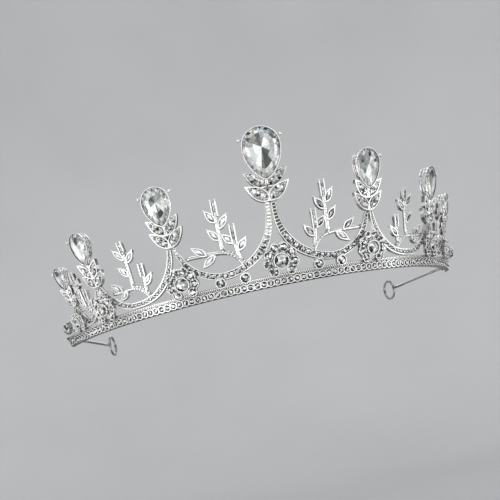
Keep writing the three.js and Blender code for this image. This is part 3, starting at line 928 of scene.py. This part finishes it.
def flower(side, peak, seed):
    """Eight petal cups in a ring with its gap at the bottom, round a beaded eye."""
    metal, petals, eye = Shape(seed), Shape(seed + 1), Shape(seed + 2)
    at, height = peak["flower"]
    place = wall_frame(side * at, height, BAND_FRONT + FIT_GAP)
    ring, petal = peak["ring"], peak["petal"] / 2
    bezel = peak["eye"] / 2
    # Painted shade: the web's inner edge is painted dark.
    metal.ring(place, 0, 0, [(bezel + 0.6, 0), (bezel + 0.6, 0.6), (0.3, 0.6), (0.3, 0)],
               [0.8, 0.6, 0.3, 0.85], sides=24)
    half_step = math.radians(20)
    for i in range(8):
        turn = math.radians(-90 + 40 * (i + 1))
        if i:
            x, y = math.cos(turn - half_step), math.sin(turn - half_step)
            # The arms between the petals are painted dark as shade.
            metal.tube([place(r * x, r * y, 0.35) for r in (bezel, ring + 0.5 * petal)],
                       0.6 * petal * MM, 10, 0.35)
            reach = ring + 0.42 * petal
            metal.bead(place, reach * x, reach * y, 1.05, 0.34)
        stone_cup(metal, petals, place, ring * math.cos(turn), ring * math.sin(turn),
                  petal, 0, 1.25, 5, 7, turn + math.pi / 5, 1.0)
    # The eye's bezel has a top painted bright over an inner wall painted near black as shade.
    metal.ring(place, 0, 0,
               [(bezel + 0.32, 0.3), (bezel + 0.3, 1.75), (bezel + 0.2, 1.85),
                (bezel - 0.12, 1.85), (bezel - 0.2, 1.6), (bezel - 0.3, 0.3)],
               [0.85, 1.0, 1.0, 0.1, 0.1, 0.3], sides=32,
               wave=lambda i: 0.05 if i % 2 else -0.04)
    for x, y in circle(bezel + 0.02, 12, math.pi / 12):
        metal.bead(place, x, y, 1.88, 0.22, sides=6, rings=4)
    eye.round_stone(place, 0, 0, 1.62, bezel - 0.22, 10, 1.0, 0.18)
    return metal, petals, eye


def bridge_cup(side, at, number):
    """Round cup with a beaded foot below it and a beaded neck above it."""
    metal, stones = Shape(800 + number), Shape(810 + number + side)
    place = wall_frame(side * at, BRIDGE_Z, BAND_FRONT + FIT_GAP)
    stone_cup(metal, stones, place, 0, 0, BRIDGE_RADIUS, -0.2, 1.3)
    for low, high, wide in ((-1.75, -1.0, 1.25), (1.0, 2.0, 1.15)):
        sections = ((wide, -0.4), (wide, 0.45), (wide - 0.25, 0.65))
        metal.skin([[place(x, low, w), place(-x, low, w), place(-x, high, w),
                     place(x, high, w)] for x, w in sections], 0.8)
        y = (low + high) / 2 + math.copysign(0.25, low)
        for x in (-0.8, 0.0, 0.8):
            metal.bead(place, x, y, 0.62, 0.3, 1, 6, 4)
    return metal, stones


def end_cup(side):
    """Round cup of six claws at the end of the band."""
    metal, stones = Shape(830), Shape(840 + side)
    place = wall_frame(side * END_AT, END_Z, -0.2)
    stone_cup(metal, stones, place, 0, 0, END_RADIUS, -0.8, 1.5, 6)
    return metal, stones


# ---- Sprays -----------------------------------------------------------------------

def twig(shape, line, width):
    """Rounded bar along a line of (s, z). width is a function of the share along it."""
    profile = [(-0.5, -0.75), (-0.5, -0.3), (-0.38, -0.08), (0, 0), (0.38, -0.08),
               (0.5, -0.3), (0.5, -0.75), (0.3, -1.1), (-0.3, -1.1)]

    def outline(i):
        wide = width(i / (len(line) - 1))
        return [(v * wide, d) for v, d in profile]

    # Painted light and shade: the crest of the bar is painted bright, its sides and back darker.
    tones = (0.35, 0.7, 0.9, 0.9, 0.7, 0.35, 0.4, 0.6, 0.4)
    shape.skin(bar_loops(line, outline), lambda i, j: tones[j], smooth=True)


def baguette(metal, stones, base, tip):
    """Channel of square stones with two prongs at its open end."""
    length, place = leaf_place(base, tip)
    half = BAGUETTE_WIDTH / 2
    # Painted shade on the channel floor, with a painted highlight on its lips.
    metal.block(place, (0, length - 0.35), (-half, half), (TWIG_BACK, -0.15), 0.3)
    for v in (-half, half - 0.42):
        metal.block(place, (0, length - 0.1), (v, v + 0.42), (TWIG_BACK, 0.42), 1.0)
    count = max(2, round(length / 1.7))
    step = (length - 0.7) / count
    for k in range(count):
        u = 0.15 + k * step
        # Each stone's top and one long side get a random brightness; its far end, other long
        # side and near end are painted light, near black and mid as light and shade.
        tone = stones.draw.choice((0.85, 0.6, 0.35))
        stones.block(place, (u, u + step - 0.14), (0.46 - half, half - 0.46), (-0.3, 0.36),
                     lambda i, j, tone=tone: tone if j == 0 else (0.9, 0.15, 0.6)[j - 1], 0.22)
        if k:
            for v in (-half + 0.4, half - 0.4):
                metal.bead(place, u - 0.06, v, 0.38, 0.2, sides=6, rings=4)
    for v in (-half + 0.2, half - 0.2):
        metal.tube([place(length - 0.7, v, 0.1), place(length + 0.1, v, 0.2)], 0.27 * MM, 8)
        metal.bead(place, length + 0.1, v, 0.24, 0.32, sides=8, rings=5)


def spray(side, plan, seed, tones):
    """Branch, stems, baguettes and leaves. The last leaf always gets the left side's bright
    painted light.
    """
    metal, stones = Shape(seed), Shape(seed + 1)

    def at(p):
        return (side * p[0], p[1])

    (s0, z0), (s1, z1) = plan["branch"][:2]
    foot = (s0 - 0.7 * (s1 - s0), z0 - 0.85 * (z1 - z0))
    branch = smooth_line([at(p) for p in [foot] + plan["branch"]], 6)
    twig(metal, branch, lambda t: 2.5 - 1.1 * min(1, 2.2 * t))
    for k, (spot, run) in enumerate(along_line(branch, lambda p: 1.15, 0.6)[:6]):
        radius = 0.52 - 0.03 * k
        stones.round_stone(wall, spot[0], spot[1], -0.02, radius, 6, 1.0, 0.12)
        for way in (-1, 1):
            x, y = beside(spot, run, 0.55, way * (radius + 0.1))
            metal.bead(wall, x, y, -0.05, 0.27, 1.0, 6, 4)
    for a, b in plan["stems"]:
        a, b = at(a), at(b)
        line = [[p + (q - p) * k / 6 for p, q in zip(a, b)] for k in range(7)]
        twig(metal, line, lambda t: TWIG_WIDTH * (1.25 - 0.25 * t))
        for (s, z), _ in along_line(line, lambda p: 1.1, 0.7):
            metal.bead(wall, s, z, -0.05, 0.36, 1.0, 8, 4)
    for s0, z0, s1, z1 in plan["baguettes"]:
        baguette(metal, stones, at((s0, z0)), at((s1, z1)))
    for k, (s0, z0, s1, z1) in enumerate(plan["leaves"]):
        base, tip = at((s0, z0)), at((s1, z1))
        length, place = leaf_rim(metal, base, tip, plan["leaf"], TWIG_BACK, 0.2, 0.36, -0.25)
        marquise(stones, base, tip, plan["leaf"], 0.02, 0.34,
                 tones if k + 1 < len(plan["leaves"]) else LEAF_LIGHT_BY_SIDE[-1])
        metal.bead(place, length - 0.15, 0, 0.14, 0.3, sides=8, rings=5)
        metal.bead(place, 0.25, 0, 0.1, 0.36, sides=8, rings=5)
    return metal, stones


# ---- Pin loops --------------------------------------------------------------------

def pin_loop(side):
    """Straight wire and closed ring, soldered to a pad inside the band."""
    shape = Shape(9)
    start = wall(side * LOOP_PAD_AT, LOOP_HEIGHT, BAND_BACK - 1.1)
    centre = Vector((side * LOOP_CENTRE[0], LOOP_CENTRE[1], LOOP_HEIGHT)) * MM
    run = (centre - start).normalized()
    up = Vector((0, 0, 1))
    end = centre - run * LOOP_RADIUS * MM
    shape.tube([start.lerp(end, k / 4) for k in range(5)], WIRE_RADIUS * MM, 14)
    shape.tube([centre + run * x + up * y for x, y in circle(LOOP_RADIUS * MM, 40)],
               WIRE_RADIUS * MM, 14, closed=True)
    place = wall_frame(side * LOOP_PAD_AT, LOOP_HEIGHT, BAND_BACK - 0.75)
    loops = []
    for grow, w in ((0, 0.35), (0, -0.2), (-0.15, -0.35)):
        loops.append([
            place((2 + grow) * math.copysign(abs(math.cos(t)) ** 0.4, math.cos(t)),
                  (1.2 + grow) * math.copysign(abs(math.sin(t)) ** 0.4, math.sin(t)), w)
            for t in [2 * math.pi * (k + 0.5) / 24 for k in range(24)]
        ])
    shape.skin(loops[::-1], 0.8)
    shape.bead(place, 0, 0, -0.5, 0.8, 0.7, 12, 8)
    return shape


# ---- Stage ------------------------------------------------------------------------

def stage():
    """Pale seamless floor far below the tiara, rising into a backdrop all round."""
    flat, curve, high = 0.8, 0.7, 0.6
    profile = [(flat * k / 4, 0) for k in range(1, 5)]
    profile += [(flat + curve * math.sin(t), curve * (1 - math.cos(t)))
                for t in [math.pi / 2 * k / 12 for k in range(1, 13)]]
    profile.append((flat + curve, curve + high))
    sides = 96
    mesh = bpy.data.meshes.new("floor")
    points = [(0, 0, 0)]
    for r, z in profile:
        points += [(x, y, z) for x, y in circle(r, sides)]
    faces = [(0, 1 + j, 1 + (j + 1) % sides) for j in range(sides)]
    for i in range(len(profile) - 1):
        a, b = 1 + i * sides, 1 + (i + 1) * sides
        faces += [(a + j, b + j, b + (j + 1) % sides, a + (j + 1) % sides)
                  for j in range(sides)]
    mesh.from_pydata(points, [], faces)
    mesh.polygons.foreach_set("use_smooth", [True] * len(faces))
    floor = bpy.data.objects.new("floor", mesh)
    floor.location = (0, 0.05, FLOOR_Z * MM)
    floor.visible_glossy = False
    floor.visible_shadow = False
    bpy.context.scene.collection.objects.link(floor)
    mesh.materials.append(floor_material())


def light(name, toward, strength):
    """Broad even light from far away in a given direction."""
    data = bpy.data.lights.new(name, "SUN")
    data.energy = strength
    data.angle = math.radians(LIGHT_SPREAD)
    lamp = bpy.data.objects.new(name, data)
    lamp.visible_glossy = False
    lamp.rotation_euler = Vector(toward).to_track_quat("Z", "Y").to_euler()
    bpy.context.scene.collection.objects.link(lamp)


def lighting():
    """Sun lights, and a room with uneven walls that only the reflections show."""
    for name, (toward, strength) in LIGHTS.items():
        light(name, toward, strength)
    world = bpy.data.worlds.new("studio")
    bpy.context.scene.world = world
    world.use_nodes = True
    tree = world.node_tree
    tree.nodes.clear()
    toward = add_node(tree, "TexCoord").outputs["Generated"]
    split = add_node(tree, "SeparateXYZ", {"Vector": toward})
    height = remap(tree, split.outputs["Z"], -1, 1, 0, 1)
    behind = remap(tree, split.outputs["Y"], 0.5, 0.95, 0, 1)
    room = ramp(tree, height, [
        (0.12, grey(0.12)), (0.26, grey(0.95)), (0.4, grey(0.95)), (0.5, grey(0.12, 0.005)),
        (0.6, grey(0.2, 0.005)), (0.8, (0.75, 0.76, 0.77)), (0.9, grey(0.95)),
        (0.97, grey(0.3, 0.01)),
    ])
    far_wall = ramp(tree, height, [
        (0.3, grey(0.06)), (0.48, grey(0.12)), (0.56, grey(0.5, 0.005)),
        (0.7, grey(0.75, 0.005)), (0.9, grey(0.6, 0.005)),
    ])
    patches = add_node(tree, "TexNoise")
    patches.noise_dimensions = "4D"
    feed(tree, patches, {"Vector": toward, "W": 1.0, "Scale": 2.2, "Detail": 2})
    uneven = ramp(tree, patches.outputs["Fac"], [
        (0.38, grey(0.5)), (0.46, grey(1.35)), (0.56, grey(1.7)), (0.64, grey(3.2)),
    ])
    walls = mix_colours(tree, "MIX", behind, room, far_wall)
    around = add_node(tree, "Background",
                      {"Color": mix_colours(tree, "MULTIPLY", 1, walls, uneven)})
    seen = add_node(tree, "Background", {"Color": (0.51, 0.515, 0.525, 1)})
    choose = add_node(tree, "MixShader", {
        "Fac": add_node(tree, "LightPath").outputs["Is Camera Ray"],
        1: around.outputs["Background"],
        2: seen.outputs["Background"],
    })
    add_node(tree, "OutputWorld", {"Surface": choose.outputs["Shader"]})
    bpy.context.scene.view_settings.view_transform = "Standard"


def camera():
    """Camera that looks at the target from its azimuth and elevation, rolled."""
    azimuth, elevation = math.radians(CAMERA_AZIMUTH), math.radians(CAMERA_ELEVATION)
    back = Vector((math.sin(azimuth) * math.cos(elevation),
                   -math.cos(azimuth) * math.cos(elevation), math.sin(elevation)))
    right = Vector((math.cos(azimuth), math.sin(azimuth), 0))
    up = back.cross(right)
    c, s = math.cos(math.radians(CAMERA_ROLL)), math.sin(math.radians(CAMERA_ROLL))
    x = right * c - up * s
    y = right * s + up * c
    data = bpy.data.cameras.new("camera")
    data.lens = CAMERA_LENS
    data.clip_start, data.clip_end = 0.01, 10
    eye = bpy.data.objects.new("camera", data)
    place = Vector(CAMERA_TARGET) * MM + back * CAMERA_DISTANCE * MM
    turn = Matrix((x, y, back)).transposed().to_4x4()
    eye.matrix_world = Matrix.Translation(place) @ turn
    bpy.context.scene.collection.objects.link(eye)
    bpy.context.scene.camera = eye


# ---- Assembly ---------------------------------------------------------------------

build("base_band_piece", band_metal(), METAL, SLOT_METAL, "base_band")
build("band_stones", band_stones(), CRYSTAL, SLOT_CRYSTAL, "band_stone_row")

for number, peak in enumerate(PEAKS):
    for suffix, side in ([("", 1)] if peak["at"] == 0 else [("_left", -1), ("_right", 1)]):
        name = peak["name"] + suffix
        seed = 100 * number + 10 * side + 40
        build(f"pear_bezel_{name}", pear_setting(side, peak), METAL, SLOT_METAL,
              f"pear_setting_{name}")
        build(f"pear_stone_{name}", pear_stone(side, peak, name), CRYSTAL, SLOT_CRYSTAL,
              f"pear_crystal_{name}")
        build_set(f"leaves_{name}", f"leaf_stones_{name}", leaf_cluster(side, peak, seed),
                  f"leaf_cluster_{name}")
        metal, petals, eye = flower(side, peak, seed + 3)
        build_set(f"flower_cups_{name}", f"flower_petals_{name}", (metal, petals),
                  f"flower_setting_{name}")
        build(f"flower_eye_{name}", eye, CRYSTAL, SLOT_CRYSTAL, f"flower_crystal_{name}")

for suffix, side in (("left", -1), ("right", 1)):
    for number, (name, points) in enumerate(RAILS.items()):
        # The left inner leg is closely set with stones painted bright, and the right one is
        # barred over a floor painted near black as shade.
        leg = {-1: "close", 1: "ladder"}[side] if name == "inner" else None
        build_set(f"rail_channel_{name}_{suffix}", f"rail_stones_{name}_{suffix}",
                  rail_pieces(side, points, 500 + 20 * number + 10 * side, leg),
                  f"rail_{name}_{suffix}")
    for number, (name, plan) in enumerate(SPRAYS.items()):
        build_set(f"twigs_{name}_{suffix}", f"twig_stones_{name}_{suffix}",
                  spray(side, plan, 700 + 20 * number + 10 * side, LEAF_LIGHT_BY_SIDE[side]),
                  f"spray_{name}_{suffix}")
    for number, at in enumerate(BRIDGE_CUPS, 1):
        build_set(f"bridge_ring_{suffix}_{number}", f"bridge_stone_{suffix}_{number}",
                  bridge_cup(side, at, number), f"bridge_cup_{suffix}_{number}")
    build_set(f"end_ring_{suffix}", f"end_stone_{suffix}", end_cup(side),
              f"end_cup_{suffix}")
    build(f"pin_wire_{suffix}", pin_loop(side), WIRE, SLOT_WIRE, f"pin_loop_{suffix}")

stage()
lighting()
camera()
